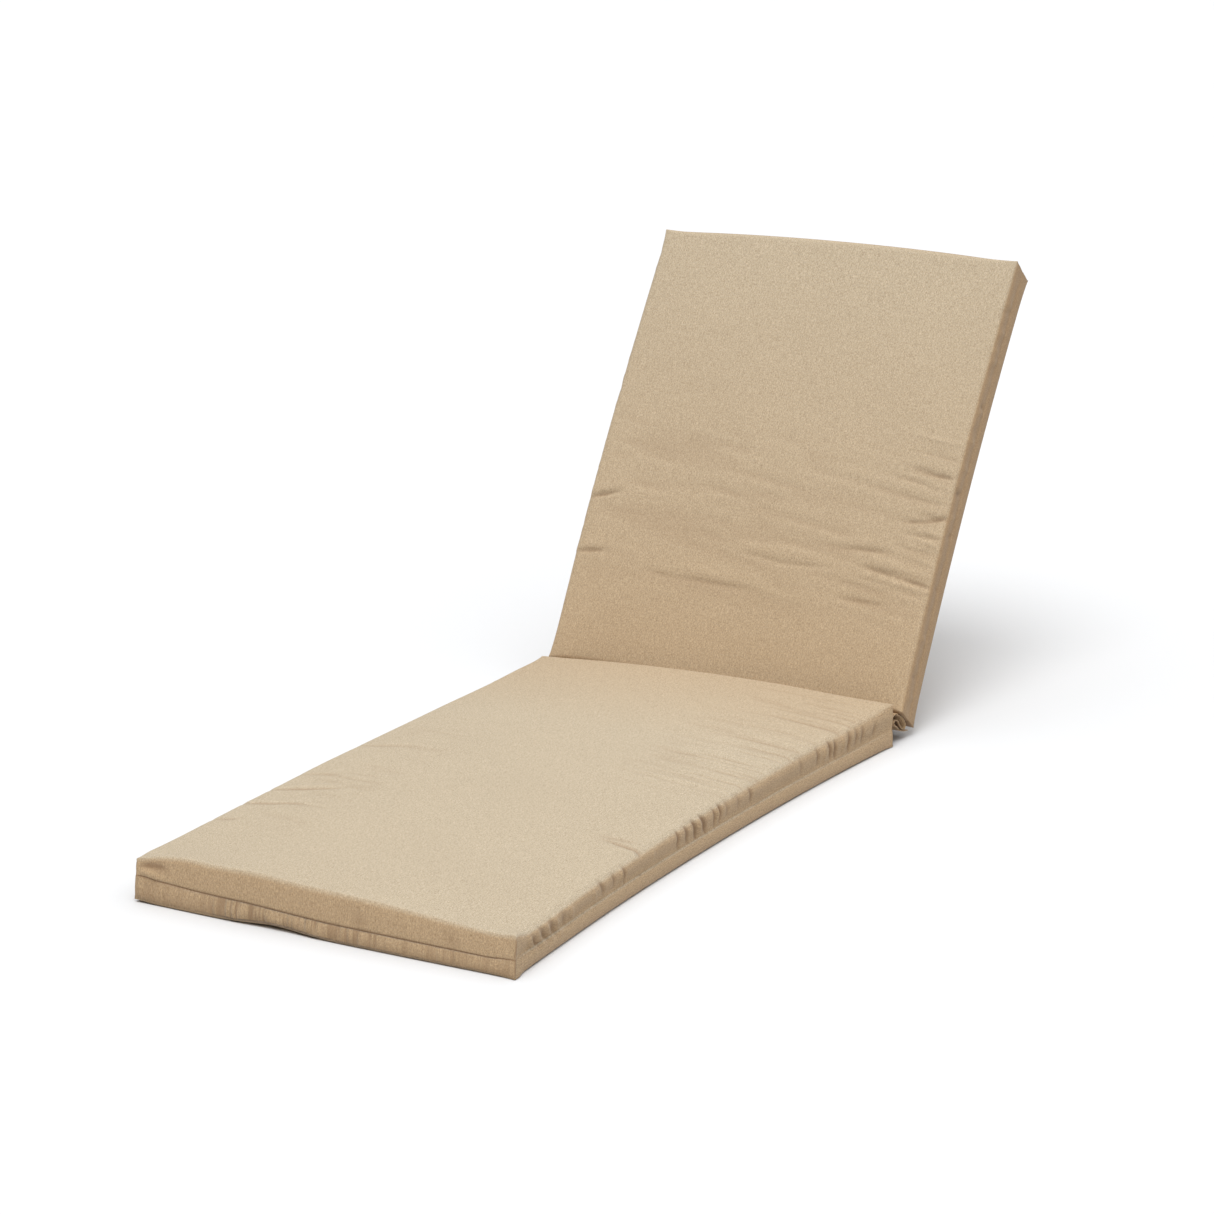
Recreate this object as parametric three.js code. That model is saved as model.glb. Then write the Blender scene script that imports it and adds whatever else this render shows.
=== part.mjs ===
// Sun lounger cushion: a long seat section and a shorter back section of foam in sewn covers,
// joined by a folded strip of cover cloth, with the back section raised.
// Millimetres, +Z up. +Y runs from the foot end to the head, and +X is the right-hand side seen from
// the foot end. The origin is the middle of the seat section's flat underside.
import * as THREE from 'three';
import { mergeVertices } from 'three/addons/utils/BufferGeometryUtils.js';

const degree = Math.PI / 180;
const gap = 0.3; // between pieces that touch

// The seat section lies flat. Each end of a section has its own shape: shift is how far it sits to the
// right, bulge how far its middle swells past its corners, skew how much further it reaches on the
// right than in the middle, and faceReach and underReach how much further it reaches at the top face
// and at the underside.
const seat = {
  name: 'seat_section',
  width: 606,
  length: 1115,
  edgeHeight: 58, // thickness at the long rims
  crown: { start: 9, middle: 13, end: 13 }, // rise over the foam's middle, from foot to head
  twist: 5, // the front left and rear right of the top face stand this much higher
  drawIn: 6, // how far each long side pulls in between its corners
  sway: 16, // the whole section curves this far to the left at mid length
  topRoll: 15, // radius of the soft upper rim
  underRoll: 7,
  start: { shift: 2, bulge: 3, skew: 8, faceReach: 3, underReach: 10 },
  end: { shift: -3, bulge: 2, skew: 0, faceReach: 0, underReach: 0 },
  rimLift: 1.2, // the top face's long rims arch up by this much at mid length
  rimBand: 110, // width of the band beside a long rim that lifts with it
  corners: [
    { side: -1, end: -1, lift: 2 },
    { side: 1, end: 1, lift: 3 },
  ],
  creases: [
    { x: -245, along: 364, reach: 42, turn: 19, width: 9, depth: 1.6 },
    { x: -250, along: 284, reach: 36, turn: 16, width: 9, depth: 1.4 },
    { x: 258, along: 368, reach: 42, turn: -6, width: 8, depth: 1.4 },
  ],
  cells: { across: 22, along: 44 },
};

// The back section, shaped flat like the seat section and then bent and stood up.
const back = {
  name: 'back_section',
  width: 608,
  length: 720,
  edgeHeight: 55,
  crown: { start: 7, middle: 8, end: 4 },
  twist: 0,
  drawIn: 0,
  sway: 0,
  topRoll: 10,
  underRoll: 6,
  start: { shift: -2, bulge: 0, skew: 0, faceReach: 0, underReach: 12 },
  end: { shift: -3, bulge: 8, skew: 5, faceReach: 4, underReach: -3 },
  rimLift: 0,
  rimBand: 110,
  corners: [],
  // Soft troughs across the front face, where the foam gives above the fold.
  creases: [
    { x: -272, along: 268, reach: 46, turn: 17, width: 12, depth: 4 },
    { x: -268, along: 177, reach: 44, turn: 8, width: 11, depth: 3 },
    { x: 60, along: 203, reach: 120, turn: -3, width: 13, depth: 2.4 },
    { x: -60, along: 152, reach: 150, turn: -2, width: 15, depth: 2 },
    { x: 182, along: 236, reach: 60, turn: 2, width: 12, depth: 2.6 },
    { x: 248, along: 202, reach: 90, turn: -9, width: 12, depth: 3.6 },
    { x: 264, along: 294, reach: 56, turn: 12, width: 12, depth: 3.4 },
    { x: 254, along: 372, reach: 60, turn: -9, width: 13, depth: 3 },
    { x: 194, along: 156, reach: 80, turn: -1, width: 13, depth: 2 },
  ],
  cells: { across: 14, along: 64 },
};

// The back section stands on the lower edge of its front face, which is measured from the seat's
// hinge end. The front face is steepest there and bends back towards the head.
const backFoot = { behindSeat: 22, height: 48 };
const backTilt = 61.7 * degree;
const backBend = 8.1 * degree;
const backRadius = back.length / backBend;
const backPlace = new THREE.Matrix4()
  .makeRotationX(backTilt)
  .setPosition(0, seat.length / 2 + backFoot.behindSeat, backFoot.height);

// The wall of a cover from the underside up: height as a share of the rim's height, and how far the
// wall sits inside the cover's outline.
const seamShare = 0.41; // the seam that runs round each section
const wallRows = [
  { share: 0.04, inset: 2 },
  { share: 0.13, inset: 0.3 },
  { share: 0.27, inset: 0 },
  { share: seamShare, inset: 6 },
  { share: 0.56, inset: 3.4 },
  { share: 0.75, inset: 0.8 },
  { share: 0.93, inset: 4.4 },
];
const lastRow = wallRows.length - 1;
const widestRow = 5; // where the upper wall stands out furthest
const cornerReach = 26; // how far from a corner the cover still stands up in a point
const cornerHold = { drop: 0.7, inset: 0.8 }; // shares of the rim's roll that such a point takes back
const endBand = 0.3; // share of the half length over which the shape of an end fades out
const liftSpot = { radius: 0.22, squeeze: 1.6 }; // size of a lifted corner, as shares of the halves
const crownFall = 2.6; // how late the crown falls away towards the long rims
const drawInFall = 2.2; // how late the drawing in fades towards the ends
const creaseFall = 12; // how late the creases fade towards the long rims

const clamp01 = (t) => Math.min(1, Math.max(0, t));
const smooth = (t) => clamp01(t) ** 2 * (3 - 2 * clamp01(t));
const bell = (t) => Math.exp(-t * t);
const crowded = (t) => t * (1.5 - 0.5 * t * t); // packs the cells closer near the rims

// A face that rolls over its rim, at a distance along the cloth from the rim's 45 degree line.
function rollOver(distance, radius) {
  const angle = Math.min(Math.PI / 4 + distance / radius, Math.PI / 2);
  const straight = Math.max(0, distance - (radius * Math.PI) / 4);
  return {
    inset: radius * (1 - Math.cos(angle)) + straight,
    drop: radius * (1 - Math.sin(angle)),
  };
}

// Sum of the soft troughs pressed into a face at one place.
function creaseDepth(creases, x, along) {
  let depth = 0;
  for (const crease of creases) {
    const cos = Math.cos(crease.turn * degree);
    const sin = Math.sin(crease.turn * degree);
    const dx = x - crease.x;
    const dy = along - crease.along;
    const lengthwise = dx * cos + dy * sin;
    const crosswise = dy * cos - dx * sin;
    depth += crease.depth * bell(crosswise / crease.width) * bell(lengthwise / crease.reach) ** 2;
  }
  return depth;
}

// Rise of the top face over the height of the long rims. Both shares run from -1 to 1.
function riseAt(section, across, along) {
  const { start, middle, end } = section.crown;
  const crown = middle + (along < 0 ? start - middle : end - middle) * along ** 2;
  return crown * (1 - Math.abs(across) ** crownFall) + section.twist * across * along;
}

// How far the top face's rims stand above a level cushion. The underside stays flat on the floor.
function liftAt(section, x, across, along) {
  const rim = smooth((Math.abs(x) - section.width / 2 + section.rimBand) / section.rimBand);
  let lift = section.rimLift * rim * Math.cos((along * Math.PI) / 2);
  for (const corner of section.corners) {
    const awayAlong = (1 - corner.end * along) * liftSpot.squeeze;
    lift += corner.lift * bell(Math.hypot(1 - corner.side * across, awayAlong) / liftSpot.radius);
  }
  return lift;
}

// One section of the cushion, lying flat: x across, y along from the middle, z up from the underside.
// The shares across and along run from -1 to 1, and row counts up the wall.
function sectionPoint(section, across, along, row) {
  const halfWidth = section.width / 2;
  const halfLength = section.length / 2;
  const a = Math.abs(across);
  const b = Math.abs(along);
  const { share, inset } = wallRows[row];
  const atFace = row === lastRow;

  let insetX = inset + (1 - a) * (halfWidth - inset);
  let insetY = inset + (1 - b) * (halfLength - inset);
  let drop = 0;
  if (row === 0 || atFace) {
    const radius = atFace ? section.topRoll : section.underRoll;
    const slack = radius * (1 - Math.PI / 4);
    const rollX = rollOver((1 - a) * (halfWidth - slack), radius);
    const rollY = rollOver((1 - b) * (halfLength - slack), radius);
    insetX = rollX.inset;
    insetY = rollY.inset;
    drop = Math.hypot(rollX.drop, rollY.drop);
  }

  // The sewn corners stand up in points instead of following the roll.
  const corner = bell(Math.hypot((1 - a) * halfWidth, (1 - b) * halfLength) / cornerReach);
  drop *= 1 - cornerHold.drop * corner;
  insetX *= 1 - cornerHold.inset * corner;
  insetY *= 1 - cornerHold.inset * corner;

  const { start, end } = section;
  const between = 1 - b ** drawInFall;
  const width = 1 - (section.drawIn * between) / halfWidth;
  const shift = start.shift + ((along + 1) / 2) * (end.shift - start.shift);
  const x = Math.sign(across) * (halfWidth - insetX) * width - section.sway * between + shift;

  const shape = along < 0 ? start : end;
  const upWall = atFace ? 1 : share;
  const reach =
    shape.bulge * (1 - a * a) +
    shape.skew * across +
    shape.faceReach * upWall +
    shape.underReach * (1 - upWall);
  const y = Math.sign(along) * (halfLength - insetY + reach * smooth((b - 1) / endBand + 1));

  const rise = riseAt(section, across, along);
  const lift = row === 0 ? 0 : liftAt(section, x, across, along) * upWall;
  let z = lift + drop;
  if (atFace) {
    z = lift + section.edgeHeight + rise - drop;
    z -= creaseDepth(section.creases, x, y + halfLength) * (1 - a ** creaseFall);
  } else if (row > 0) {
    const aboveSeam = Math.max(0, (share - seamShare) / (1 - seamShare));
    z = lift + share * section.edgeHeight + rise * aboveSeam;
  }
  return { x, y, z };
}

// A point of the back section in its own frame, with its origin at the foot of the front face, +Y up
// along that face and +Z out of it. It is bent about an axis behind the cushion.
function backPoint(across, along, row) {
  const flat = sectionPoint(back, across, along, row);
  const turn = (flat.y + back.length / 2) / backRadius;
  const out = backRadius + flat.z - back.edgeHeight;
  return { x: flat.x, y: out * Math.sin(turn), z: out * Math.cos(turn) - backRadius };
}

// A box with a row of cells for each stretch of the wall, its points moved by place(across, along, row).
function shapedBlock(cells, rows, place) {
  const box = new THREE.BoxGeometry(2, 2, rows, cells.across, cells.along, rows);
  box.deleteAttribute('normal');
  box.deleteAttribute('uv');
  const block = mergeVertices(box);
  const points = block.getAttribute('position');
  for (let i = 0; i < points.count; i++) {
    const row = Math.round(points.getZ(i) + rows / 2);
    const moved = place(crowded(points.getX(i)), crowded(points.getY(i)), row);
    points.setXYZ(i, moved.x, moved.y, moved.z);
  }
  block.computeVertexNormals();
  return block;
}

function clothPiece(name, geometry, color) {
  const cloth = new THREE.MeshStandardMaterial({ color, roughness: 0.92, metalness: 0 });
  const mesh = new THREE.Mesh(geometry, cloth);
  mesh.name = name;
  return mesh;
}

const seatMesh = clothPiece(
  seat.name,
  shapedBlock(seat.cells, lastRow, (across, along, row) => sectionPoint(seat, across, along, row)),
  0xd2c2a9,
);

const backMesh = clothPiece(back.name, shapedBlock(back.cells, lastRow, backPoint), 0xc9b596);
backMesh.applyMatrix4(backPlace);

// The cloth strip that joins the sections lies in back-and-forth folds in the wedge between them.
// Its first edge meets the seat section's upper wall and its last edge the back section's heel.
// Each row is a point of its section: distance behind the seat's hinge end, and height.
const strip = {
  name: 'hinge_strip',
  width: 580,
  shift: -4,
  thickness: 1.8,
  wander: 0.6, // how far a fold wanders up and down across the width
  wanderLength: 170,
  folds: [
    { behind: 16, height: 46 },
    { behind: 29, height: 37.8 },
    { behind: 41, height: 27 },
    { behind: 45.4, height: 21.6 },
    { behind: 43.4, height: 18.4 },
    { behind: 38, height: 20 },
    { behind: 26, height: 28.6 },
    { behind: 15, height: 36 },
    { behind: 9.4, height: 37 },
    { behind: 6.8, height: 34 },
    { behind: 9, height: 30.4 },
    { behind: 26, height: 22 },
    { behind: 41, height: 15 },
    { behind: 52, height: 12 },
  ],
  cells: { across: 24, along: 40 },
};

// The strip's section at one place across the width, given as a share of the half width.
function stripPath(across) {
  const wall = sectionPoint(seat, across, 1, widestRow);
  const heel = new THREE.Vector3().copy(backPoint(across, -1, 0)).applyMatrix4(backPlace);
  const underHeel = gap + strip.thickness / 2;
  const points = [
    new THREE.Vector3(0, wall.y + gap, wall.z),
    new THREE.Vector3(0, wall.y + gap + strip.thickness, wall.z),
  ];
  for (const fold of strip.folds) {
    points.push(new THREE.Vector3(0, seat.length / 2 + fold.behind, fold.height));
  }
  points.push(new THREE.Vector3(0, heel.y, heel.z - underHeel));
  return new THREE.CatmullRomCurve3(points, false, 'centripetal');
}

function stripPoint(across, along, row) {
  const x = (across * strip.width) / 2;
  const path = stripPath((2 * x) / seat.width);
  const share = (along + 1) / 2;
  const middle = path.getPointAt(share);
  const ahead = path.getTangentAt(share);
  const side = (row - 0.5) * strip.thickness;
  const slack = Math.sin(share * Math.PI); // the sewn edges stay in line
  const wander = strip.wander * slack * Math.sin((x * 2 * Math.PI) / strip.wanderLength);
  return {
    x: x + strip.shift,
    y: middle.y - ahead.z * side,
    z: middle.z + ahead.y * side + wander,
  };
}

const stripMesh = clothPiece(strip.name, shapedBlock(strip.cells, 1, stripPoint), 0xb89c74);

const cushion = new THREE.Group();
cushion.add(seatMesh, backMesh, stripMesh);

export default cushion;
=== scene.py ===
import math
import random

import bmesh
import bpy
import numpy as np
from mathutils import Matrix, Vector


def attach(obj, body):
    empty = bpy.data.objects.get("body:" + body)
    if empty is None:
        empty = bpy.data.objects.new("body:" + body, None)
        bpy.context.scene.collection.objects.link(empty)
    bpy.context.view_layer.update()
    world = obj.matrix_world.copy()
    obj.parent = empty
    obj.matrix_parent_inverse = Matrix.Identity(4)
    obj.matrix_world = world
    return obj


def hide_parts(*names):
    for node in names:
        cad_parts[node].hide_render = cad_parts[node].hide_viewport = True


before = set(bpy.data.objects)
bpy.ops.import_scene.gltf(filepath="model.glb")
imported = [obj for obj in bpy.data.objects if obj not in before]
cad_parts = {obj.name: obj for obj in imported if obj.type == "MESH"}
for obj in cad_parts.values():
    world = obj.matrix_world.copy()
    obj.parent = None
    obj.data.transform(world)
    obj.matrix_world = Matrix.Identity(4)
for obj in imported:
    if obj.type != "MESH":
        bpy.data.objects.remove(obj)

# Sun lounger cushion: a seat and a raised back of foam in sewn canvas covers, joined by folded cloth.
# Shapes are worked out in millimetres, with the origin at the middle of the seat's underside,
# +Y towards the head and +Z up. They become metres when a mesh takes them.

mm = 0.001
degree = math.pi / 180
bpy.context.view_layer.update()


def addObject(name, data):
    made = bpy.data.objects.new(name, data)
    bpy.context.scene.collection.objects.link(made)
    return made


# The camera comes first. It was fitted to the cushion's corners in the photograph.

camera = {
    "lookAt": (-0.104, 0.4053, 0.2),
    "azimuth": 29.113,
    "elevation": 15.967,
    "roll": -0.125,
    "distance": 7.1659,
    "lens": 142.34,
    "sensor": 36,
    "farthest": 100,
}


def placeCamera(view):
    azimuth = view["azimuth"] * degree
    elevation = view["elevation"] * degree
    away = Vector((
        math.sin(azimuth) * math.cos(elevation),
        -math.cos(azimuth) * math.cos(elevation),
        math.sin(elevation),
    ))
    turn = away.to_track_quat("Z", "Y").to_matrix() @ Matrix.Rotation(view["roll"] * degree, 3, "Z")
    made = addObject("camera", bpy.data.cameras.new("camera"))
    made.data.lens = view["lens"]
    made.data.sensor_width = view["sensor"]
    made.data.clip_end = view["farthest"]
    made.matrix_world = Matrix.Translation(Vector(view["lookAt"]) + away * view["distance"]) @ turn.to_4x4()
    bpy.context.scene.camera = made


placeCamera(camera)
print("camera placed")

# Finishes.


class Wire:
    # the output of a shader node, so that a sum written with it adds the Math nodes
    def __init__(self, finish, socket):
        self.finish = finish
        self.socket = socket

    def math(self, operation, *values):
        return self.finish.node("ShaderNodeMath", {"operation": operation}, dict(enumerate(values)))

    def __add__(self, other):
        return self.math("ADD", self, other)

    def __radd__(self, other):
        return self.math("ADD", other, self)

    def __sub__(self, other):
        return self.math("SUBTRACT", self, other)

    def __rsub__(self, other):
        return self.math("SUBTRACT", other, self)

    def __mul__(self, other):
        return self.math("MULTIPLY", self, other)

    def __rmul__(self, other):
        return self.math("MULTIPLY", other, self)

    def sine(self):
        return self.math("SINE", self)

    def within(self, low, high):
        # 0 at low and 1 at high
        return self.finish.node(
            "ShaderNodeMapRange", {"interpolation_type": "SMOOTHSTEP"},
            {0: self, 1: low, 2: high, 3: 0.0, 4: 1.0})


class Finish:
    # one material, built from its Principled shader outwards
    def __init__(self, name):
        self.material = bpy.data.materials.new(name)
        self.material.use_nodes = True
        self.tree = self.material.node_tree
        self.shader = self.tree.nodes["Principled BSDF"]

    def node(self, kind, settings=None, values=None, output=0):
        made = self.tree.nodes.new(kind)
        for key, value in (settings or {}).items():
            setattr(made, key, value)
        for key, value in (values or {}).items():
            if isinstance(value, Wire):
                self.tree.links.new(value.socket, made.inputs[key])
            else:
                made.inputs[key].default_value = value
        return Wire(self, made.outputs[output])

    def mix(self, share, first, second):
        # colours: inputs 6 and 7 of the Mix node, output 2
        return self.node(
            "ShaderNodeMix", {"data_type": "RGBA", "clamp_factor": True},
            {0: share, 6: first, 7: second}, 2)

    def tint(self, share, colour, shade):
        # as mix, but the shade multiplies the colour
        return self.node(
            "ShaderNodeMix", {"data_type": "RGBA", "blend_type": "MULTIPLY", "clamp_factor": True},
            {0: share, 6: colour, 7: shade}, 2)

    def attribute(self, name):
        # a value that the mesh carries at its points
        return self.node("ShaderNodeAttribute", {"attribute_name": name}, None, 2)

    def noise(self, place, spots, detail=2.0, roughness=0.5):
        # spots: how many to a metre along each axis
        scaled = self.node("ShaderNodeVectorMath", {"operation": "MULTIPLY"}, {0: place, 1: spots})
        return self.node(
            "ShaderNodeTexNoise", None,
            {"Vector": scaled, "Scale": 1.0, "Detail": detail, "Roughness": roughness})

    def set(self, **values):
        for key, value in values.items():
            socket = self.shader.inputs[key.replace("_", " ")]
            if isinstance(value, Wire):
                self.tree.links.new(value.socket, socket)
            else:
                socket.default_value = value


canvas = {
    "yarn": 0.9 * mm,           # thread pitch of the weave
    "light": (0.622, 0.524, 0.381, 1),
    "dark": (0.305, 0.233, 0.148, 1),
    "grey": (0.435, 0.398, 0.338, 1),
    "shadeWarmth": (0.945, 0.775, 0.605, 1),     # painted shade: the tint that makes the walls and the back warmer and darker than the seat's top, for light bounced onto them
    # colour of the seam lines, partly their own dark joint and partly painted shade in the groove, and of
    # the painted shade deep in the hinge's folds
    "seamAndFoldShade": (0.210, 0.118, 0.060, 1),
    "foldShade": (0.250, 0.155, 0.085, 1),
    # how much each of these shows in the colour
    "yarns": 0.45,
    "speckle": 0.65,
    "streak": 0.75,
    "cloud": 0.12,
    "greyYarns": 0.5,
    # painted shade: the next three darken the troughs of folds, the seam lines, which are partly their own
    # dark joint, and the troughs of puckers
    "paintedShades": 0.8,
    "seamLinesAndShade": 0.7,
    "puckers": 0.7,
    "weaveDepth": 0.18 * mm,
    "puckerDepth": 10 * mm,
    "roughness": 0.82,
    "sheen": 0.12,
    "sheenTint": (0.92, 0.96, 1.0, 1),
}


def canvasFinish(name, look):
    # heather canvas: every yarn has its own shade, drawn along its length
    cloth = Finish(name)
    place = cloth.node("ShaderNodeUVMap", {"uv_map": "cloth"})
    split = cloth.node("ShaderNodeSeparateXYZ", None, {0: place})
    across, along = (Wire(cloth, output) for output in split.socket.node.outputs[:2])

    perYarn = 1 / look["yarn"]
    warp = cloth.noise(place, (perYarn, 110, 1))
    weft = cloth.noise(place, (300, perYarn, 1))
    speckle = cloth.noise(place, (1000, 330, 1), 2.0, 0.6)
    streak = cloth.noise(place, (600, 34, 1), 3.0, 0.65)
    cloud = cloth.noise(place, (6, 6, 1), 3.0)

    yarns = (warp + weft) * 0.5
    shade = (
        yarns.within(0.34, 0.66) * look["yarns"]
        + speckle.within(0.30, 0.70) * look["speckle"]
        + (streak - 0.5) * look["streak"]
        + (cloud - 0.5) * look["cloud"]
    )
    colour = cloth.mix(shade, look["light"], look["dark"])
    greyness = cloth.noise(place, (900, 420, 1), 2.0).within(0.45, 0.70) * look["greyYarns"]
    colour = cloth.mix(greyness, colour, look["grey"])
    # painted shade: the walls, the back and the seat's top near the back take a warmer, darker tint
    colour = cloth.tint(cloth.attribute("warmShade"), colour, look["shadeWarmth"])
    # painted shade darkens the troughs of folds and the walls in shade; the seam lines are partly their own
    # dark joint and partly painted shade in the groove
    colour = cloth.mix(cloth.attribute("paintedShade") * look["paintedShades"], colour, look["foldShade"])
    colour = cloth.mix(cloth.attribute("seamLineAndShade") * look["seamLinesAndShade"], colour, look["seamAndFoldShade"])

    # fine upright puckers, too narrow for the mesh, with painted shade in their troughs
    puckered = cloth.attribute("puckered")
    ruche = cloth.noise(place, (105, 11, 1), 1.0)
    deep = (0.5 - ruche).within(0.0, 0.12)
    colour = cloth.mix(puckered * deep * look["puckers"], colour, look["foldShade"])
    pucker = cloth.node(
        "ShaderNodeBump", None,
        {"Strength": 1.0, "Distance": look["puckerDepth"], "Height": puckered * ruche})

    turn = 2 * math.pi / look["yarn"]
    over = (across * turn).sine() * (along * turn).sine()
    height = over * 0.5 + yarns * 0.6 + speckle * 0.5
    bump = cloth.node(
        "ShaderNodeBump", None,
        {"Strength": 0.4, "Distance": look["weaveDepth"], "Height": height, "Normal": pucker})
    cloth.set(
        Base_Color=colour, Roughness=look["roughness"] + yarns * 0.14, Normal=bump, Specular_IOR_Level=0.25,
        Sheen_Weight=look["sheen"], Sheen_Roughness=0.45, Sheen_Tint=look["sheenTint"])
    return cloth.material


sewingThread = {
    "dark": (0.200, 0.115, 0.060, 1),
    "light": (0.330, 0.215, 0.120, 1),
    "twistDepth": 0.1 * mm,
    "roughness": 0.7,
}


def threadFinish(name, look):
    thread = Finish(name)
    place = thread.node("ShaderNodeTexCoord", None, None, 3)
    twist = thread.noise(place, (900, 900, 900), 2.0)
    colour = thread.mix(twist.within(0.35, 0.65), look["dark"], look["light"])
    bump = thread.node(
        "ShaderNodeBump", None, {"Strength": 0.4, "Distance": look["twistDepth"], "Height": twist})
    thread.set(
        Base_Color=colour, Roughness=look["roughness"] + twist * 0.1, Normal=bump, Specular_IOR_Level=0.3)
    return thread.material


clothMaterial = canvasFinish("heather_canvas", canvas)
threadMaterial = threadFinish("stitching_thread", sewingThread)
print("finishes made")

# Shapes that both sections share.

wall = {
    # up the wall: share of the rim's height, and how far the long and the short walls stand inside.
    # The first and the last row are the rims, and stand where the faces roll over.
    "rows": (
        (0.04, 0.0, 0.0), (0.08, 0.9, 1.3), (0.13, 0.3, 0.6), (0.20, 0.0, 0.1), (0.27, 0.3, 0.0),
        (0.33, 1.1, 0.4), (0.375, 2.1, 0.8), (0.395, 2.8, 1.2), (0.41, 4.2, 2.3), (0.425, 4.5, 1.3),
        (0.455, 4.9, 0.9), (0.51, 4.9, 0.6), (0.58, 3.8, 0.4), (0.66, 2.1, 0.1), (0.75, 0.8, 0.0),
        (0.84, 1.5, 0.2), (0.89, 2.7, 0.3), (0.92, 0.0, 0.0),
    ),
    "seamRow": 8,
    "cornerReach": 26,          # how far from a corner the cover still stands up in a point
    "cornerDrop": 0.7,          # shares of the rim's roll that such a point takes back
    "cornerInset": 0.8,
    "cornerDent": 3.0,          # depth of the sewn upright at a corner
    "cornerDentWidth": 3.8,
    "endBand": 0.3,             # share of the half length over which an end's own shape fades out
    "spotRadius": 0.22,         # a raised corner's reach, as a share of the half width
    "spotSqueeze": 1.6,
    "crownFall": 2.6,
    "drawInFall": 2.2,
    "seamDriftReach": 70,
    "turnsFrom": 0.5,           # a wall's gathers fade where its normal's share falls to this
    "turnsOver": 0.4,
    "faceFrom": 0.3,            # the cover counts as face, and not as wall, as it turns up past this
    "faceOver": 0.5,
    "giveSize": (95, 120),
    "rippleSize": (70, 90),
    "rippleFade": (60, 25, 70, 40),     # at the region's left, right, foot and head
    "rippleShade": 0.22,
    "gatherDark": 2.3,          # a gather this deep takes the darkest painted shade
    "footShadeHeight": 0.2,
    "seamShadeWidth": 1.2,
    "longSeamShade": 0.1,       # the long walls' seams hide in their fold
    "cornerShadeWidth": 4.5,
    "inFoldShade": 0.6,
    # where the map of the cloth puts the panel under the seam, and the underside
    "lowPanelAt": 371,
    "undersideAt": 900,
}


def smooth(t):
    t = np.clip(t, 0, 1)
    return t * t * (3 - 2 * t)


def bell(t):
    return np.exp(-t * t)


def rollOver(distance, radius):
    # a face rolling over its rim: distance along the cloth from the rim's 45 degree line
    angle = np.minimum(math.pi / 4 + distance / radius, math.pi / 2)
    straight = np.maximum(0, distance - radius * math.pi / 4)
    return radius * (1 - np.cos(angle)) + straight, radius * (1 - np.sin(angle))


def softNoise(u, v, seed):
    # smooth random hills from -1 to 1, a unit apart
    table = np.random.default_rng(seed).uniform(-1, 1, (97, 89))
    iu, iv = np.floor(u).astype(int), np.floor(v).astype(int)
    fu, fv = smooth(u - iu), smooth(v - iv)
    low = table[iu % 97, iv % 89] * (1 - fu) + table[(iu + 1) % 97, iv % 89] * fu
    high = table[iu % 97, (iv + 1) % 89] * (1 - fu) + table[(iu + 1) % 97, (iv + 1) % 89] * fu
    return low * (1 - fv) + high * fv


def folds(u, v, lines):
    # sum of ridges and troughs along straight lines: (from u, v, to u, v, height, half width)
    total = np.zeros(len(u))
    for u0, v0, u1, v1, height, width in lines:
        du, dv = u1 - u0, v1 - v0
        share = np.clip(((u - u0) * du + (v - v0) * dv) / (du * du + dv * dv), 0, 1)
        away = np.hypot(u - u0 - share * du, v - v0 - share * dv)
        taper = 0.35 + 0.65 * np.sin(np.clip(share, 0.02, 0.98) * math.pi)
        total += height * taper * bell(away / width)
    return total


def steps(half, fine, coarse, band):
    # places from -half to half, closer together near both ends
    places = [0.0]
    while places[-1] < half:
        left = half - places[-1]
        places.append(places[-1] + (fine if left < band else coarse))
    places = np.array(places) * half / places[-1]
    return np.concatenate((-places[:0:-1], places)) / half


def gridBlock(acrossCount, alongCount, rowCount):
    # a cube of side 2 cut into a grid
    bm = bmesh.new()
    bmesh.ops.create_cube(bm, size=2)
    for axis, count in ((2, rowCount), (0, acrossCount), (1, alongCount)):
        edges = [e for e in bm.edges if abs(e.verts[0].co[axis] - e.verts[1].co[axis]) > 1]
        bmesh.ops.subdivide_edges(bm, edges=edges, cuts=count - 1)
    return bm


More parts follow.
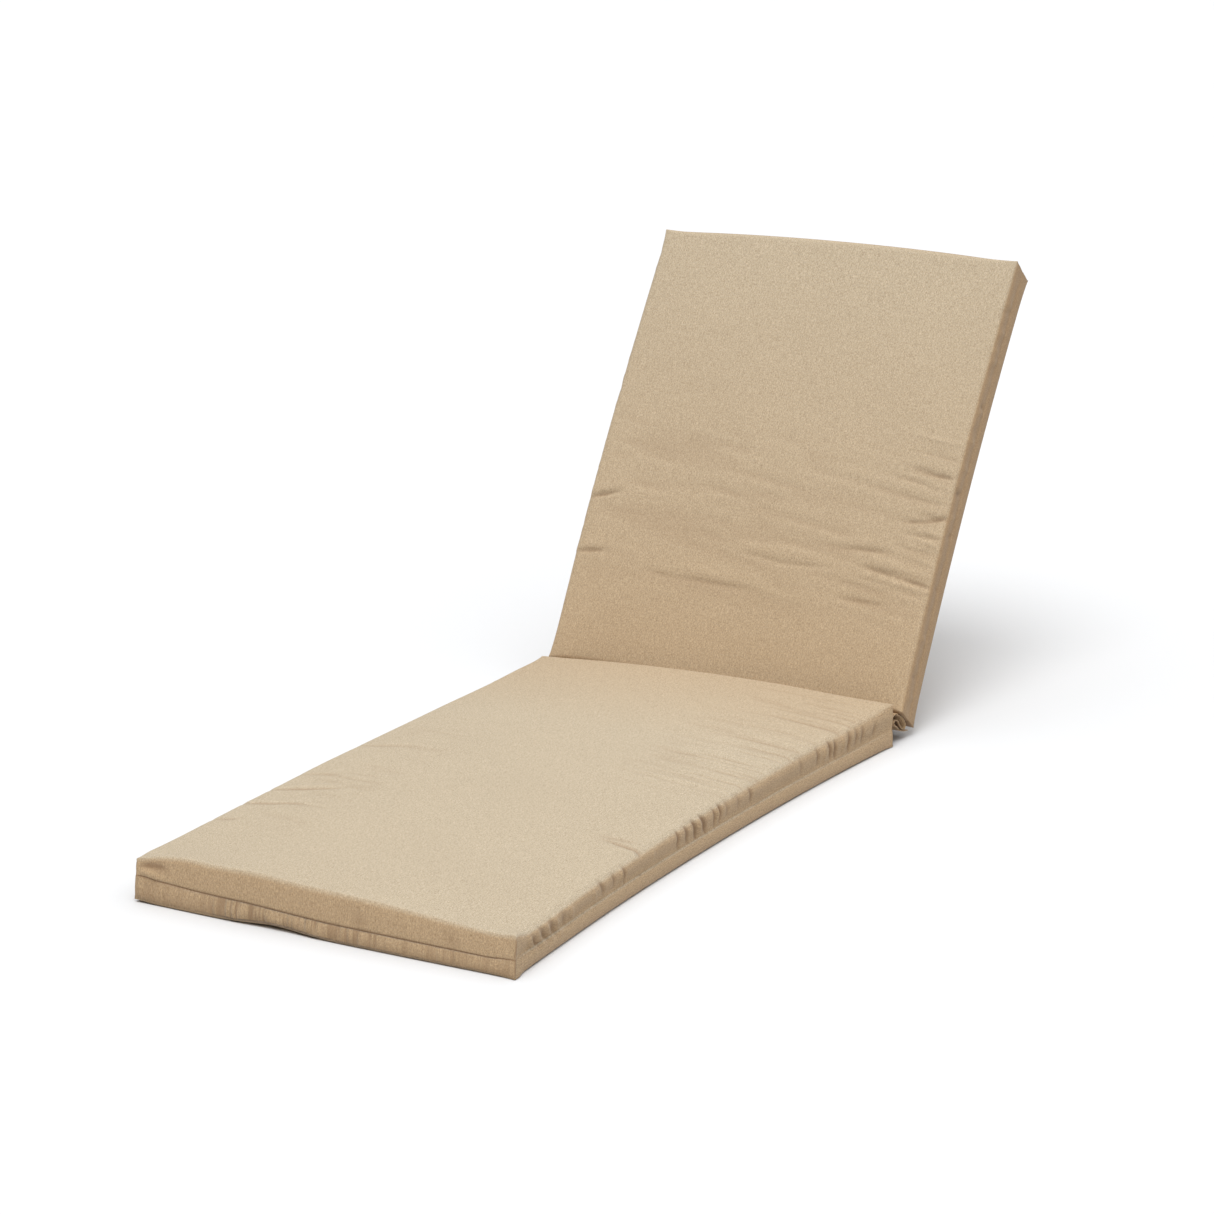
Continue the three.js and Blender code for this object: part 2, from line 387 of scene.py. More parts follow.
def coverPoints(section, across, along, row):
    # one section lying flat, as in the part's source, with its finer wall
    halfWidth, halfLength = section["width"] / 2, section["length"] / 2
    rows = np.array(wall["rows"])
    last = len(rows) - 1
    share = rows[row, 0]
    a, b = np.abs(across), np.abs(along)
    atTop, atUnder = row == last, row == 0

    drawn = rows[row, 1] * section["wallDraw"]
    insetX = drawn + (1 - a) * (halfWidth - drawn)
    insetY = rows[row, 2] + (1 - b) * (halfLength - rows[row, 2])
    drop = np.zeros(len(a))
    for here, radius, endRadius in (
            (atTop, section["topRoll"], np.where(along < 0, section["footRoll"], section["headRoll"])),
            (atUnder, section["underRoll"], section["underRoll"])):
        square = 1 - math.pi / 4
        rollX, dropX = rollOver((1 - a) * (halfWidth - radius * square), radius)
        rollY, dropY = rollOver((1 - b) * (halfLength - endRadius * square), endRadius)
        insetX = np.where(here, rollX, insetX)
        insetY = np.where(here, rollY, insetY)
        drop = np.where(here, np.hypot(dropX, dropY), drop)

    corner = bell(np.hypot((1 - a) * halfWidth, (1 - b) * halfLength) / wall["cornerReach"])
    drop *= 1 - wall["cornerDrop"] * corner
    insetX *= 1 - wall["cornerInset"] * corner
    insetY *= 1 - wall["cornerInset"] * corner

    start, end = section["start"], section["end"]
    between = 1 - b ** wall["drawInFall"]
    width = 1 - section["drawIn"] * between / halfWidth
    shift = start["shift"] + (along + 1) / 2 * (end["shift"] - start["shift"])
    x = np.sign(across) * (halfWidth - insetX) * width - section["sway"] * between + shift

    upWall = np.where(atTop, 1, share)
    reach = np.zeros(len(a))
    for shape, here in ((start, along < 0), (end, along >= 0)):
        reach = np.where(
            here,
            shape["bulge"] * (1 - a * a) + shape["skew"] * across
            + shape["faceReach"] * upWall + shape["underReach"] * (1 - upWall),
            reach)
    y = np.sign(along) * (halfLength - insetY + reach * smooth((b - 1) / wall["endBand"] + 1))

    crown = section["crown"]
    height = crown[1] + np.where(along < 0, crown[0] - crown[1], crown[2] - crown[1]) * along ** 2
    rise = height * (1 - a ** wall["crownFall"]) + section["twist"] * across * along
    rim = smooth((np.abs(x) - halfWidth + section["rimBand"]) / section["rimBand"])
    lift = section["rimLift"] * rim * np.cos(along * math.pi / 2)
    for side, tip, high in section["corners"]:
        away = np.hypot(1 - side * across, (1 - tip * along) * wall["spotSqueeze"])
        lift += high * bell(away / wall["spotRadius"])
    # the underside lies flat
    lift = lift * np.where(atTop, 1, np.where(atUnder, 0, share))
    seamShare = rows[wall["seamRow"], 0]
    aboveSeam = np.maximum(0, (share - seamShare) / (1 - seamShare))
    edge = section["edgeHeight"]
    z = lift + share * edge + rise * aboveSeam
    # the seam wanders up and down along the foot wall
    drift = np.interp(x, *zip(*section["seamDrift"])) * bell((y + halfLength) / wall["seamDriftReach"])
    z += drift * np.where(share < seamShare, share / seamShare, (1 - share) / (1 - seamShare))
    z = np.where(atTop, lift + edge + rise - drop, z)
    z = np.where(atUnder, lift + drop, z)
    return np.stack((x, y, z), axis=1)


def meshNormals(mesh):
    found = np.empty(len(mesh.vertices) * 3, np.float32)
    mesh.vertex_normals.foreach_get("vector", found)
    return found.reshape(-1, 3).astype(float)


def readPoints(mesh):
    found = np.empty(len(mesh.vertices) * 3, np.float32)
    mesh.vertices.foreach_get("co", found)
    return found.reshape(-1, 3).astype(float)


def setPoints(mesh, points):
    mesh.vertices.foreach_set("co", np.asarray(points, np.float32).ravel())
    mesh.update()


def nameShare(mesh, name, shares):
    # a value from 0 to 1 at every point, which the canvas finish reads
    values = np.clip(shares, 0, 1).astype(np.float32)
    mesh.attributes.new(name, "FLOAT", "POINT").data.foreach_set("value", values)


def faceCorners(mesh):
    # the point at each corner of each face
    found = np.empty(len(mesh.loops), np.int32)
    mesh.loops.foreach_get("vertex_index", found)
    return found


def mapCloth(mesh, u, v):
    layer = mesh.uv_layers.new(name="cloth")
    layer.data.foreach_set("uv", (np.stack((u, v), axis=1) * mm).astype(np.float32).ravel())


def wallFolds(section, points, normals):
    # the gathers of the four walls, which fade where the cover turns away from the wall
    length = section["length"]
    s = points[:, 1] + length / 2
    total = np.zeros(len(points))
    walls = (
        ("right", 0, 1, s), ("left", 0, -1, s), ("foot", 1, -1, points[:, 0]), ("head", 1, 1, points[:, 0]))
    for name, axis, side, run in walls:
        facing = smooth((side * normals[:, axis] - wall["turnsFrom"]) / wall["turnsOver"])
        here = facing > 0
        if here.any() and section["gathers"][name]:
            pressed = folds(run[here], points[here, 2], section["gathers"][name])
            total[here] += facing[here] * section["gatherDepth"] * pressed
    return total


def looseGathers(seed, length, spacing, low, high, height, start=0):
    # seeded gathers, where the photograph shows no single one
    draw = random.Random(seed)
    lines = []
    place = spacing
    while place < length - spacing:
        lean = draw.uniform(-6, 14)
        top = draw.uniform(0.72, 1.0) * high
        bottom = draw.uniform(0.9, 1.25) * low
        size = height * draw.choice((-1, 1, 1)) * draw.uniform(0.35, 1)
        lines.append((place + start, top, place + lean + start, bottom, size, draw.uniform(3.6, 6.0)))
        place += spacing * draw.uniform(0.55, 1.7)
    return lines


def strainLines(seed, low, high, spacing, inner, outer, height):
    # fine lines across the top face that end at its right rim
    draw = random.Random(seed)
    lines = []
    place = low
    while place < high:
        begin = draw.uniform(*inner)
        size = height * draw.choice((-1, -1, 1)) * draw.uniform(0.4, 1)
        lines.append((begin, place + draw.uniform(2, 12), outer, place, size, draw.uniform(2.4, 3.8)))
        place += spacing * draw.uniform(0.6, 1.5)
    return lines


def foldCover(section, points, normals, across, along, row, column):
    # lays the folds and pulls into a smooth cover, and says where its cloth takes painted shade, dark or
    # warm, and where the seam lines darken it
    rows = np.array(wall["rows"])
    inWall = (row > 0) & (row < len(rows) - 1)
    atFoot, atHead = along == along.min(), along == along.max()
    s = points[:, 1] + section["length"] / 2
    half = section["width"] / 2

    # the sewn uprights at the corners
    cornerAway = np.hypot((1 - np.abs(across)) * half, (1 - np.abs(along)) * section["length"] / 2)
    dent = -wall["cornerDent"] * bell(cornerAway / wall["cornerDentWidth"]) * inWall
    gathers = wallFolds(section, points, normals)

    up = smooth((normals[:, 2] - wall["faceFrom"]) / wall["faceOver"])
    faceFolds = folds(points[:, 0], s, section["creases"])
    acrossSize, alongSize = wall["giveSize"]
    give = section["give"] * softNoise(points[:, 0] / acrossSize + 7, s / alongSize + 3, section["seed"])
    offset = dent + gathers + up * (faceFolds + give)
    # painted shade in the troughs of gathers and creases
    paintedShade = -(gathers / wall["gatherDark"] + up * faceFolds / section["creaseDepth"])
    # painted shade: the foot wall darkens towards the floor
    paintedShade += section["footShade"] * bell(rows[row, 0] / wall["footShadeHeight"]) * atFoot * (row > 0)
    spread, slant = wall["rippleSize"]
    atLeft, atRight, nearFoot, nearHead = wall["rippleFade"]
    for x0, x1, s0, s1, spacing, height in section["fineWrinkles"]:
        region = smooth((points[:, 0] - x0) / atLeft) * smooth((x1 - points[:, 0]) / atRight)
        region = region * smooth((s - s0) / nearFoot) * smooth((s1 - s) / nearHead)
        ripple = softNoise(
            points[:, 0] / spread + 3, s / spacing + points[:, 0] / slant, section["seed"] + 1)
        offset += up * region * height * ripple
        # painted shade in the ripples' troughs
        paintedShade -= up * region * ripple * wall["rippleShade"]
    folded = points + normals * offset[:, None]
    for x0, s0, z0, radiusAlong, radiusUp, dx, dy, dz in section["tugs"]:
        pull = bell((folded[:, 0] - x0) / radiusAlong) * bell((s - s0) / radiusAlong)
        pull = pull * bell((folded[:, 2] - z0) / radiusUp)
        folded = folded + pull[:, None] * np.array((dx, dy, dz))

    # the seam lines: partly their own dark joint, partly painted shade in the groove beside them, at the
    # corners too
    seamAway = np.abs(rows[row, 0] - rows[wall["seamRow"], 0]) * section["edgeHeight"]
    seamLineAndShade = bell(seamAway / wall["seamShadeWidth"]) * inWall
    seamLineAndShade = seamLineAndShade * np.where(atFoot | atHead, 1.0, wall["longSeamShade"])
    seamLineAndShade = np.maximum(seamLineAndShade, bell(cornerAway / wall["cornerShadeWidth"]) * inWall)
    # painted shade: the walls inside the fold are in deep shade, and the back's walls are darker
    inFold = (atHead if section["foldAt"] == "head" else atFoot) * inWall
    shade = section["wallShade"] * (1 - up) * inWall + wall["inFoldShade"] * inFold
    puckered = np.zeros(len(points))
    for x0, reach, size in section["puckers"]:
        puckered += size * bell((column * 2 * half - half - x0) / reach)
    # painted shade: the face's warm, darker tint, which the seat takes towards the back and the back
    # towards its foot
    faceShadeWarmth = np.interp(s, *zip(*section["faceShadeWarmth"]))
    return folded, {
        "seamLineAndShade": seamLineAndShade,
        "paintedShade": np.maximum(paintedShade, shade),
        "puckered": puckered * (atFoot & (row > 0) & (row < wall["seamRow"])),
        "warmShade": section["wallShadeWarmth"] * (1 - up) + faceShadeWarmth * up,
    }


def mapCover(mesh, section, cube, across, along, row):
    # the cloth laid flat, each wall beside the face that it is sewn to
    rows = np.array(wall["rows"])
    last = len(rows) - 1
    corners = faceCorners(mesh)
    counts = np.array([len(face.vertices) for face in mesh.polygons])
    owner = np.repeat(np.arange(len(counts)), counts)
    middle = np.zeros((len(counts), 3))
    np.add.at(middle, owner, cube[corners])
    middle = (middle / counts[:, None])[owner]
    longWall = np.abs(middle[:, 0] - 0.5) > 0.4999
    endWall = (np.abs(middle[:, 1] - 0.5) > 0.4999) & ~longWall
    low = middle[:, 2] < wall["seamRow"] / last
    under = middle[:, 2] < 1e-4

    u = across[corners] * section["width"] / 2
    v = along[corners] * section["length"] / 2
    # at the rim a wall ends where the face's roll begins
    endRoll = np.where(v < 0, section["footRoll"], section["headRoll"])
    roll = np.where(longWall, section["topRoll"], endRoll)
    down = section["edgeHeight"] * (1 - rows[row[corners], 0])
    down = np.where(row[corners] == last, roll * (1 - math.sqrt(0.5)), down)
    mappedU = u + np.where(longWall, np.sign(u) * down, 0)
    mappedU = mappedU + np.where(low, wall["lowPanelAt"], 0) + np.where(under, wall["undersideAt"], 0)
    mapCloth(mesh, mappedU, v + np.where(endWall, np.sign(v) * down, 0))


def makeCover(name, node, section):
    across = steps(section["width"] / 2, section["fineStep"], section["acrossStep"], section["fineBand"])
    along = steps(section["length"] / 2, section["fineStep"], section["alongStep"], section["fineBand"])
    counts = (len(across) - 1, len(along) - 1, len(wall["rows"]) - 1)
    bm = gridBlock(*counts)
    mesh = bpy.data.meshes.new(name)
    bm.to_mesh(mesh)
    bm.free()

    cube = (readPoints(mesh) + 1) / 2
    i, j, k = np.rint(cube * counts).astype(int).T
    points = coverPoints(section, across[i], along[j], k)
    setPoints(mesh, points)
    points, shares = foldCover(section, points, meshNormals(mesh), across[i], along[j], k, cube[:, 0])
    setPoints(mesh, section["place"](points) * mm)
    mapCover(mesh, section, cube, across[i], along[j], k)
    for shareName, values in shares.items():
        nameShare(mesh, shareName, values)

    made = addObject(name, mesh)
    mesh.materials.append(clothMaterial)
    mesh.shade_smooth()
    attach(made, "root")
    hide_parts(node)
    print(name, len(mesh.polygons), "faces")
    return made, (i, j, k)


# Seat section.

seat = {
    "width": 606,
    "length": 1115,
    "edgeHeight": 58,
    "crown": (9, 13, 13),       # from foot to head
    "wallDraw": 1.0,            # how deep the seams of the long walls lie
    "twist": 5,
    "drawIn": 6,
    "sway": 16,
    "topRoll": 15,
    "footRoll": 4.5,
    "headRoll": 8,
    "underRoll": 7,
    "start": {"shift": 2, "bulge": 3, "skew": 8, "faceReach": 3, "underReach": 10},
    "end": {"shift": -3, "bulge": 2, "skew": 0, "faceReach": 0, "underReach": 0},
    "rimLift": 1.2,
    "rimBand": 110,
    "corners": ((-1, -1, 2), (1, 1, 3)),
    "seamDrift": ((-293, 17), (-254, 9), (-208, 7), (-120, 6), (14, 1), (150, 0), (264, -1), (296, 2)),
    "fineStep": 2.6,
    "acrossStep": 9.0,
    "alongStep": 2.3,
    "fineBand": 26,
    "give": 0.7,
    "gatherDepth": 1.8,
    "creaseDepth": 3.2,         # a crease this deep takes the darkest painted shade
    # below the foot wall's seam: where, reach, how much, from -303 to 303 counted in columns of the mesh
    "puckers": ((-110, 45, 1.0), (-40, 50, 1.0), (50, 60, 0.6), (170, 90, 0.4), (-235, 45, 0.3)),
    # painted shade: the seat's top warms and darkens towards the back, and its walls take the same tint
    "faceShadeWarmth": ((0, 0), (800, 0), (1115, 0.45)),     # from the foot to the head
    "wallShadeWarmth": 0.85,
    "wallShade": 0.0,
    "footShade": 0.55,
    "foldAt": "head",           # the end that stands in the fold
    "seed": 11,
    "creases": (
        (222, 372, 300, 363, -2.2, 5), (209, 382, 262, 388, -1.0, 6), (225, 358, 296, 350, 0.9, 8),
        (-300, 341, -208, 378, -2.2, 6), (-300, 270, -221, 293, -1.8, 6), (-300, 188, -258, 203, -1.2, 6),
        (-300, 578, -221, 601, -1.0, 7), (-300, 420, -238, 438, -1.0, 6), (-300, 352, -215, 392, 1.0, 8),
        (-300, 282, -225, 305, 0.8, 8), *strainLines(71, 640, 1105, 17, (90, 230), 302, 1.5),
    ),
    # regions of faint ripples: x from, to, distance from the foot from, to, spacing, height
    "fineWrinkles": ((60, 300, 560, 1110, 9, 0.5), (-295, -150, 150, 700, 11, 0.5)),
    # pulls: at x, distance from the foot, z, reach along and up, then how far
    "tugs": (
        (-300, 0, 58, 22, 26, 0, 0, -6),
        (-225, 0, 62, 40, 22, 0, 0, 5),
        (-120, 0, 66, 100, 26, 0, 0, 6),
        (60, 0, 66, 100, 26, 0, 0, 3),
        (-72, -6, 2, 52, 12, 0, 2, 5),
        (-304, -6, 2, 24, 14, 0, 0, 4),
        (304, -4, 58, 20, 18, 1, -1, 5),
        (304, -4, 0, 10, 9, 3, -3, 0),
        (-300, 1050, 60, 90, 30, 0, 0, 3),
    ),
    "gathers": {
        "right": [
            (36, 42, 59, 24, -1.2, 4.6), (60, 44, 86, 24, -1.2, 4.6), (88, 45, 111, 24, -1.1, 4.6),
            (126, 46, 142, 24, -0.9, 4.6), (27, 43, 45, 23, 2.2, 4), (43, 46, 74, 21, 2.4, 4),
            (72, 47, 98, 21, 2.2, 4), (99, 50, 123, 19, 2.2, 4), (148, 47, 164, 25, 1.8, 4),
            (219, 47, 233, 28, 1.2, 4),
            (239, 55, 256, 31, -1.4, 3.6), (278, 53, 287, 32, -1.2, 3.6), (302, 53, 310, 26, 1.4, 3.6),
            (311, 52, 320, 27, -1.6, 3.2), (397, 50, 403, 30, 0.7, 4), (471, 57, 480, 26, -1.6, 3.6),
            (495, 56, 507, 27, -1.7, 3.6), (519, 57, 534, 26, -2.6, 3.8), (531, 57, 548, 27, 1.6, 3.6),
            (543, 57, 562, 27, -2.6, 3.8), (580, 57, 589, 28, -1.5, 3.2), (589, 57, 597, 29, 1.2, 3.6),
            (598, 57, 604, 31, -2.5, 3.7), (616, 57, 626, 32, -0.8, 3.6), (651, 57, 660, 32, -0.7, 4),
            (688, 57, 697, 31, -1.4, 3.6), (839, 56, 848, 31, -0.8, 4), (891, 57, 897, 32, -1.4, 3.6),
            (912, 57, 918, 30, 1.3, 4), (928, 57, 936, 31, -2.4, 3.7), (944, 53, 950, 28, -2.2, 3.4),
            (968, 57, 974, 30, 1.4, 4), (987, 55, 989, 29, -2.2, 3.7), (1007, 56, 1011, 30, -1.3, 3.6),
            (1025, 56, 1029, 30, -1.3, 3.6), (1061, 49, 1063, 31, -1.3, 3.6),
        ],
        "left": looseGathers(21, 1115, 26, 26, 56, 1.9),
        "foot": [
            (-288, 49, -262, 38, 2.4, 4), (-290, 56, -252, 51, -2, 4),
            (-124, 22, -136, 6, 0.8, 9), (-66, 20, -70, 4, 0.8, 9), (-10, 20, -8, 4, 0.8, 9),
            (60, 45, 66, 26, -0.6, 9), (205, 44, 210, 24, -0.6, 9),
        ],
        "head": looseGathers(23, 560, 34, 26, 50, 1.4, -280),
    },
    "place": lambda points: points,
}

seatCover, seatGrid = makeCover("seat_cover", "seat_section", seat)

# Back section.

back = {
    "width": 608,
    "length": 720,
    "edgeHeight": 55,
    "crown": (7, 8, 4),
    "wallDraw": 0.5,
    "twist": 0,
    "drawIn": 0,
    "sway": 0,
    "topRoll": 10,
    "footRoll": 10,
    "headRoll": 10,
    "underRoll": 6,
    "start": {"shift": -2, "bulge": 0, "skew": 0, "faceReach": 0, "underReach": 12},
    "end": {"shift": -3, "bulge": 8, "skew": 5, "faceReach": 4, "underReach": -3},
    "rimLift": 0,
    "rimBand": 110,
    "corners": (),
    "seamDrift": ((-300, 0), (300, 0)),
    "fineStep": 2.6,
    "acrossStep": 9.0,
    "alongStep": 2.5,
    "fineBand": 22,
    "give": 0.8,
    "gatherDepth": 1.4,
    "creaseDepth": 7,
    "puckers": (),
    # painted shade: the back's face is warmer and darker towards its foot, near the seat, and so are its
    # walls
    "faceShadeWarmth": ((0, 0.7), (250, 0.45), (720, 0.12)),
    "wallShadeWarmth": 1.0,
    "wallShade": 0.42,          # painted shade: how much darker the walls are
    "footShade": 0.0,
    "foldAt": "foot",
    "seed": 31,
    "behindSeat": 22,
    "footHeight": 48,
    "tilt": 61.7 * degree,
    "bend": 8.1 * degree,
    "creases": (
        (-300, 262, -254, 277, -4.6, 3.1), (-300, 274, -246, 290, 1.6, 8),
        (-300, 173, -256, 180, -3.5, 3.1), (-300, 184, -250, 190, 1.2, 8),
        (-16, 206, 51, 198, -1.6, 3.6), (51, 198, 132, 201, -1.6, 3.6), (-10, 218, 126, 212, 1, 10),
        (-164, 155, -121, 152, -1.3, 3.6), (-121, 152, 29, 150, -1.3, 4.2), (-150, 168, 20, 162, 0.9, 11),
        (151, 236, 215, 237, -2.6, 3.6), (151, 248, 215, 249, 1, 9),
        (187, 211, 247, 202, -3.7, 3.6), (247, 202, 302, 193, -4.2, 3.6), (190, 224, 300, 206, 1.5, 9),
        (235, 289, 263, 293, -2.9, 3.1), (263, 293, 302, 304, -3.7, 3.4), (240, 302, 300, 316, 1.3, 9),
        (240, 271, 302, 270, -2.4, 3.6), (223, 377, 260, 370, -2.6, 3.6), (260, 370, 290, 366, -2.6, 3.6),
        (211, 358, 283, 345, -2.4, 3.6), (215, 388, 280, 380, 1, 9), (156, 157, 231, 156, -2, 3.6),
        (-22, 121, 9, 122, -0.7, 3.6), (181, 193, 228, 189, -1.5, 3.1), (240, 178, 300, 172, 1, 9),
        *strainLines(81, 175, 430, 19, (205, 262), 303, 1.6),
    ),
    "fineWrinkles": ((-300, 300, 90, 420, 12, 0.7),),
    "tugs": (),
    "gathers": {
        "right": looseGathers(41, 720, 27, 24, 52, 1.7),
        "left": looseGathers(42, 720, 27, 24, 52, 1.7),
        "foot": [],
        "head": looseGathers(44, 600, 36, 24, 48, 0.9, -300),
    },
}


def standBack(points):
    # bends the flat section about an axis behind it and stands it up at the hinge
    radius = back["length"] / back["bend"]
    turn = (points[:, 1] + back["length"] / 2) / radius
    out = radius + points[:, 2] - back["edgeHeight"]
    y, z = out * np.sin(turn), out * np.cos(turn) - radius
    cos, sin = math.cos(back["tilt"]), math.sin(back["tilt"])
    return np.stack((
        points[:, 0],
        y * cos - z * sin + seat["length"] / 2 + back["behindSeat"],
        y * sin + z * cos + back["footHeight"],
    ), axis=1)


back["place"] = standBack
backCover, backGrid = makeCover("back_cover", "back_section", back)

# Folded cloth at the hinge.

hinge = {
    "width": 592,
    "shift": 1,
    "thickness": 1.1,
    # section from the seat's wall to the back's heel: distance behind the seat, height
    "folds": (
        (1.4, 45), (16, 46), (29, 37.8), (41, 27), (45.4, 21.6), (43.4, 18.4), (38, 20), (26, 28.6),
        (15, 36), (9.4, 37), (6.8, 34), (9, 30.4), (26, 22), (41, 15), (50, 12.4), (56, 10.6),
    ),
    "across": 150,
    "along": 90,
    # how far the layers wander out of line: (size across, waves along, share), and more near the ends
    "wander": 1.3,
    "waves": ((34, 7, 1.0), (13, 15, 0.5)),
    "looseFrom": 235,
    "looseOver": 60,
    "looseMore": 2.2,
    "seed": 61,
    # shares of the run between which the layers lie deep in the fold and take painted shade
    "deep": (0.34, 0.80),
    # painted shade: how it fades in, how it darkens the start against the seat, how short of each end it
    # stops, and how much of the seam lines' colour it takes
    "deepFade": 0.08,
    "darkStart": 0.06,
    "paleEdge": 3,
    "seamAndFoldShade": 0.7,
}


def throughPoints(points, count):
    # a smooth path through the points, evenly spaced: centripetal Catmull-Rom
    points = np.array(points, float)
    ends = np.concatenate(([2 * points[0] - points[1]], points, [2 * points[-1] - points[-2]]))
    path = []
    for p0, p1, p2, p3 in zip(ends[:-3], ends[1:-2], ends[2:-1], ends[3:]):
        t1 = np.linalg.norm(p1 - p0) ** 0.5
        t2 = t1 + np.linalg.norm(p2 - p1) ** 0.5
        t3 = t2 + np.linalg.norm(p3 - p2) ** 0.5
        for t in np.linspace(t1, t2, 24, endpoint=False):
            a1 = (t1 - t) / t1 * p0 + t / t1 * p1
            a2 = (t2 - t) / (t2 - t1) * p1 + (t - t1) / (t2 - t1) * p2
            a3 = (t3 - t) / (t3 - t2) * p2 + (t - t2) / (t3 - t2) * p3
            b1 = (t2 - t) / t2 * a1 + t / t2 * a2
            b2 = (t3 - t) / (t3 - t1) * a2 + (t - t1) / (t3 - t1) * a3
            path.append((t2 - t) / (t2 - t1) * b1 + (t - t1) / (t2 - t1) * b2)
    path.append(points[-1])
    path = np.array(path)
    run = np.concatenate(([0], np.cumsum(np.linalg.norm(np.diff(path, axis=0), axis=1))))
    at = np.linspace(0, run[-1], count)
    return np.stack([np.interp(at, run, path[:, c]) for c in range(path.shape[1])], axis=1), run[-1]


def makeHinge():
    path, length = throughPoints(hinge["folds"], hinge["along"] + 1)
    bm = bmesh.new()
    bmesh.ops.create_grid(bm, x_segments=hinge["across"], y_segments=hinge["along"], size=1)
    mesh = bpy.data.meshes.new("hinge_cloth")
    bm.to_mesh(mesh)
    bm.free()
    flat = readPoints(mesh)
    x = flat[:, 0] * hinge["width"] / 2
    share = (flat[:, 1] + 1) / 2
    at = np.rint(share * hinge["along"]).astype(int)
    ahead = np.gradient(path, axis=0)
    ahead = ahead / np.linalg.norm(ahead, axis=1)[:, None]
    slack = np.sin(share * math.pi) ** 0.6
    wave = np.zeros(len(x))
    for n, (size, waves, height) in enumerate(hinge["waves"]):
        wave += height * softNoise(x / size + 50, share * waves, hinge["seed"] + n)
    loose = 1 + hinge["looseMore"] * smooth((np.abs(x) - hinge["looseFrom"]) / hinge["looseOver"])
    side = hinge["wander"] * slack * wave * loose
    y = path[at, 0] - ahead[at, 1] * side
    z = path[at, 1] + ahead[at, 0] * side
    points = np.stack((x + hinge["shift"], y + seat["length"] / 2, z), axis=1)
    setPoints(mesh, points * mm)
    corners = faceCorners(mesh)
    mapCloth(mesh, x[corners], share[corners] * length)
    # painted shade: the inner layers and the start against the seat are dark but for their edge at each
    # end, and the troughs of the layers are darker
    deepFrom, deepTo = hinge["deep"]
    inner = smooth((share - deepFrom) / hinge["deepFade"]) * smooth((deepTo - share) / hinge["deepFade"])
    inner = inner + bell(share / hinge["darkStart"])
    inner = inner * smooth((hinge["width"] / 2 + 0.5 - np.abs(x)) / hinge["paleEdge"])
    nameShare(mesh, "paintedShade", np.maximum(-wave * slack, inner))
    nameShare(mesh, "seamLineAndShade", hinge["seamAndFoldShade"] * inner)
    nameShare(mesh, "puckered", np.zeros(len(x)))
    # painted shade: the whole hinge cloth takes the walls' warm, darker tint
    nameShare(mesh, "warmShade", np.ones(len(x)))
    made = addObject("hinge_cloth", mesh)
    mesh.materials.append(clothMaterial)
    mesh.shade_smooth()
    thick = made.modifiers.new("thickness", "SOLIDIFY")
    thick.thickness = hinge["thickness"] * mm
    thick.offset = 0
    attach(made, "root")
    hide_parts("hinge_strip")
    print("hinge_cloth", round(length), "mm long")


makeHinge()

# Stitching.

stitching = {
    "length": 3.4,
    "thickness": 0.9,
    "pitch": 4.6,
    "proud": 0.25,
    "sunk": 1.8,                # the long walls' seams lie deeper in their fold
}


def seamPath(cover, grid, row, counts):
    # the seam row's points in order round the cover
    i, j, k = grid
    across, along = counts
    order = np.full(len(i), -1)
    sides = (
        (j == 0, i),
        (i == across, across + j),
        ((j == along) & (i < across), 2 * across + along - i),
        ((i == 0) & (j > 0) & (j < along), 2 * across + 2 * along - j),
    )
    for here, place in sides:
        order[here] = place[here]
    here = np.where((k == row) & (order >= 0))[0]
    here = here[np.argsort(order[here])]
    return readPoints(cover.data)[here], meshNormals(cover.data)[here]


def cornerPath(cover, grid, atAcross, atAlong):
    i, j, k = grid
    here = np.where((i == atAcross) & (j == atAlong))[0]
    here = here[np.argsort(k[here])]
    return readPoints(cover.data)[here], meshNormals(cover.data)[here]


def makeStitch():
    bm = bmesh.new()
    bmesh.ops.create_uvsphere(bm, u_segments=6, v_segments=4, radius=1)
    mesh = bpy.data.meshes.new("stitch")
    bm.to_mesh(mesh)
    bm.free()
    return mesh


stitch = makeStitch()


def sewAlong(bm, points, normals, closed):
    # stitches at an even pitch, each one lying along the path
    if closed:
        points, normals = np.vstack((points, points[:1])), np.vstack((normals, normals[:1]))
    run = np.concatenate(([0], np.cumsum(np.linalg.norm(np.diff(points, axis=0), axis=1))))
    count = int(run[-1] / (stitching["pitch"] * mm))
    half = stitching["length"] * mm / 2
    for n in range(count):
        middle = (n + 0.5) * run[-1] / count
        sources = ((middle - half, points), (middle + half, points), (middle, points), (middle, normals))
        first, last, here, out = (
            Vector([np.interp(at, run, source[:, c]) for c in range(3)]) for at, source in sources)
        ahead = (last - first).normalized()
        out = (out - ahead * out.dot(ahead)).normalized()
        side = ahead.cross(out)
        turn = Matrix((ahead, side, out)).transposed().to_4x4()
        thick = stitching["thickness"] * mm / 2
        size = Matrix.Diagonal((half, thick, thick, 1))
        sunk = stitching["sunk"] * abs(out.x) if closed else 0
        place = Matrix.Translation(here + out * (stitching["proud"] - sunk) * mm)
        one = stitch.copy()
        one.transform(place @ turn @ size)
        bm.from_mesh(one)
        bpy.data.meshes.remove(one)


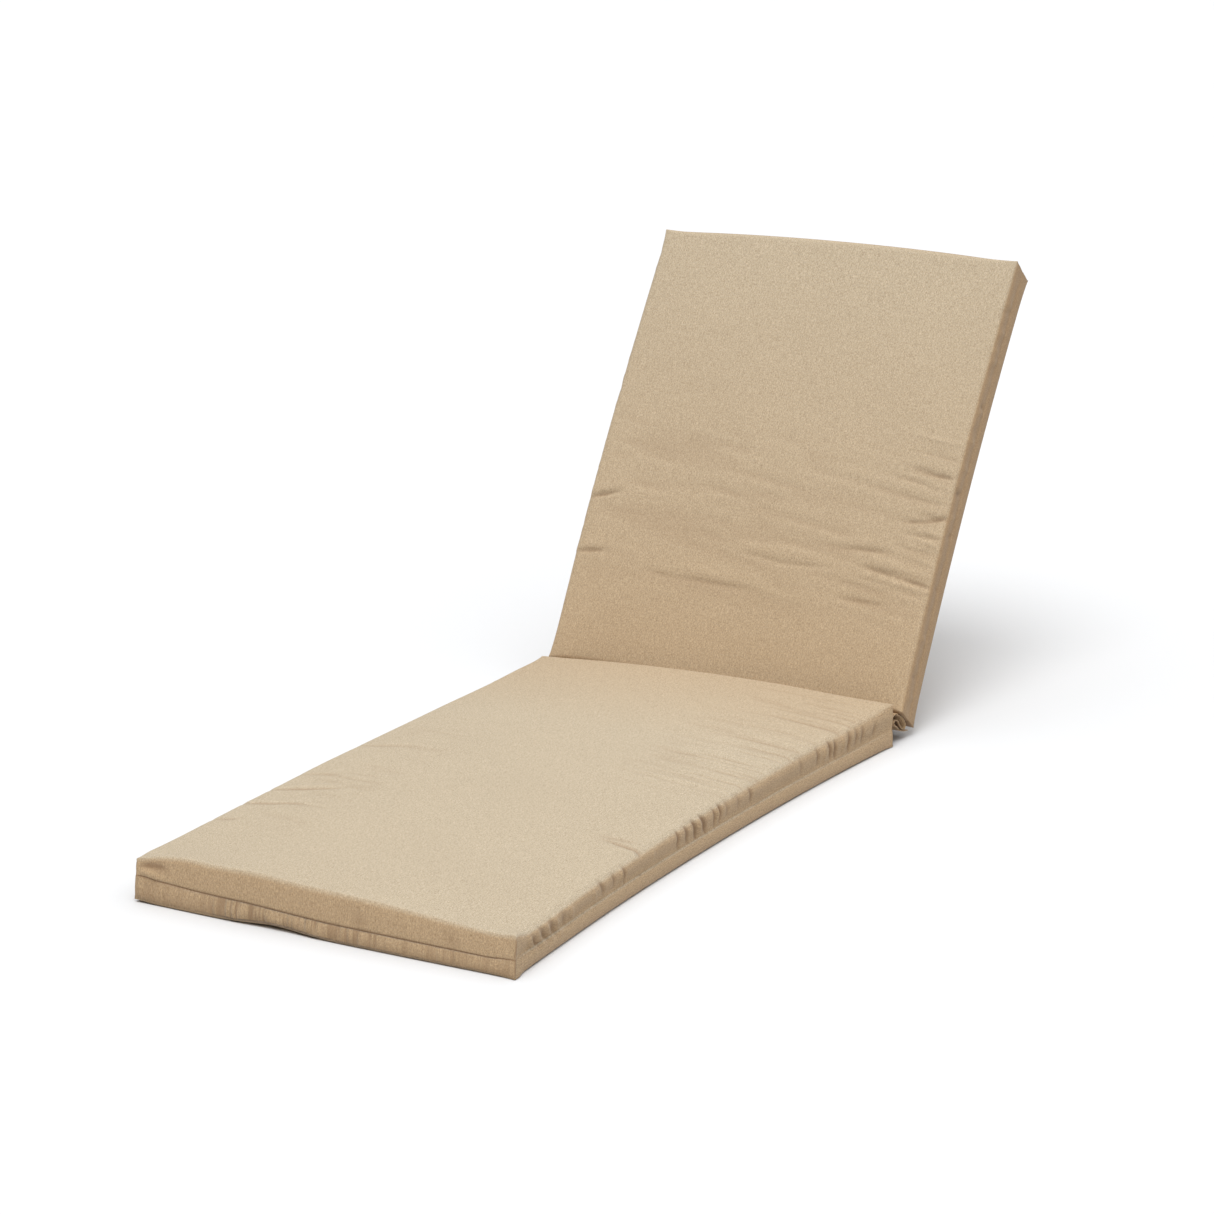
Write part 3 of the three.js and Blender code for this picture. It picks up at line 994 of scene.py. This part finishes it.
def makeStitching(name, cover, grid):
    counts = (grid[0].max(), grid[1].max())
    bm = bmesh.new()
    points, normals = seamPath(cover, grid, wall["seamRow"], counts)
    sewAlong(bm, points, normals, True)
    for atAcross in (0, counts[0]):
        for atAlong in (0, counts[1]):
            points, normals = cornerPath(cover, grid, atAcross, atAlong)
            sewAlong(bm, points, normals, False)
    mesh = bpy.data.meshes.new(name)
    bm.to_mesh(mesh)
    bm.free()
    mesh.shade_smooth()
    mesh.materials.append(threadMaterial)
    made = addObject(name, mesh)
    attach(made, "root")
    print(name, len(mesh.polygons), "faces")


makeStitching("seat_stitching", seatCover, seatGrid)
makeStitching("back_stitching", backCover, backGrid)

# Floor and light.

studio = {
    # metres
    "floor": 40,
    "floorDrop": 0.0005,
    "floorShade": (0.695, 0.700, 0.708, 1),
    "sky": (0.90, 0.95, 1.0, 1),
    "skyStrength": 0.10,
    # strength, spread in degrees, and where it stands
    "lights": {
        "ceiling_softbox": (2.72, 112, (0.11, -0.02, 1.0)),
        "key_softbox": (1.85, 34, (0.12, -0.42, 0.90)),
    },
}


def makeStudio():
    bm = bmesh.new()
    bmesh.ops.create_grid(bm, x_segments=1, y_segments=1, size=studio["floor"] / 2)
    mesh = bpy.data.meshes.new("floor")
    bm.to_mesh(mesh)
    bm.free()
    floor = addObject("floor", mesh)
    floor.location.z = -studio["floorDrop"]
    paper = Finish("white_paper")
    paper.set(Base_Color=studio["floorShade"], Roughness=0.95, Specular_IOR_Level=0.1)
    mesh.materials.append(paper.material)

    world = bpy.data.worlds.new("studio")
    world.use_nodes = True
    world.node_tree.nodes["Background"].inputs[0].default_value = studio["sky"]
    world.node_tree.nodes["Background"].inputs[1].default_value = studio["skyStrength"]
    bpy.context.scene.world = world

    for name, (strength, spread, stands) in studio["lights"].items():
        light = addObject(name, bpy.data.lights.new(name, "SUN"))
        light.data.energy = strength
        light.data.angle = spread * degree
        light.rotation_euler = Vector(stands).to_track_quat("Z", "Y").to_euler()
    bpy.context.scene.view_settings.view_transform = "Standard"
    bpy.context.scene.view_settings.look = "None"


makeStudio()
print("floor and light made")

bpy.context.view_layer.update()
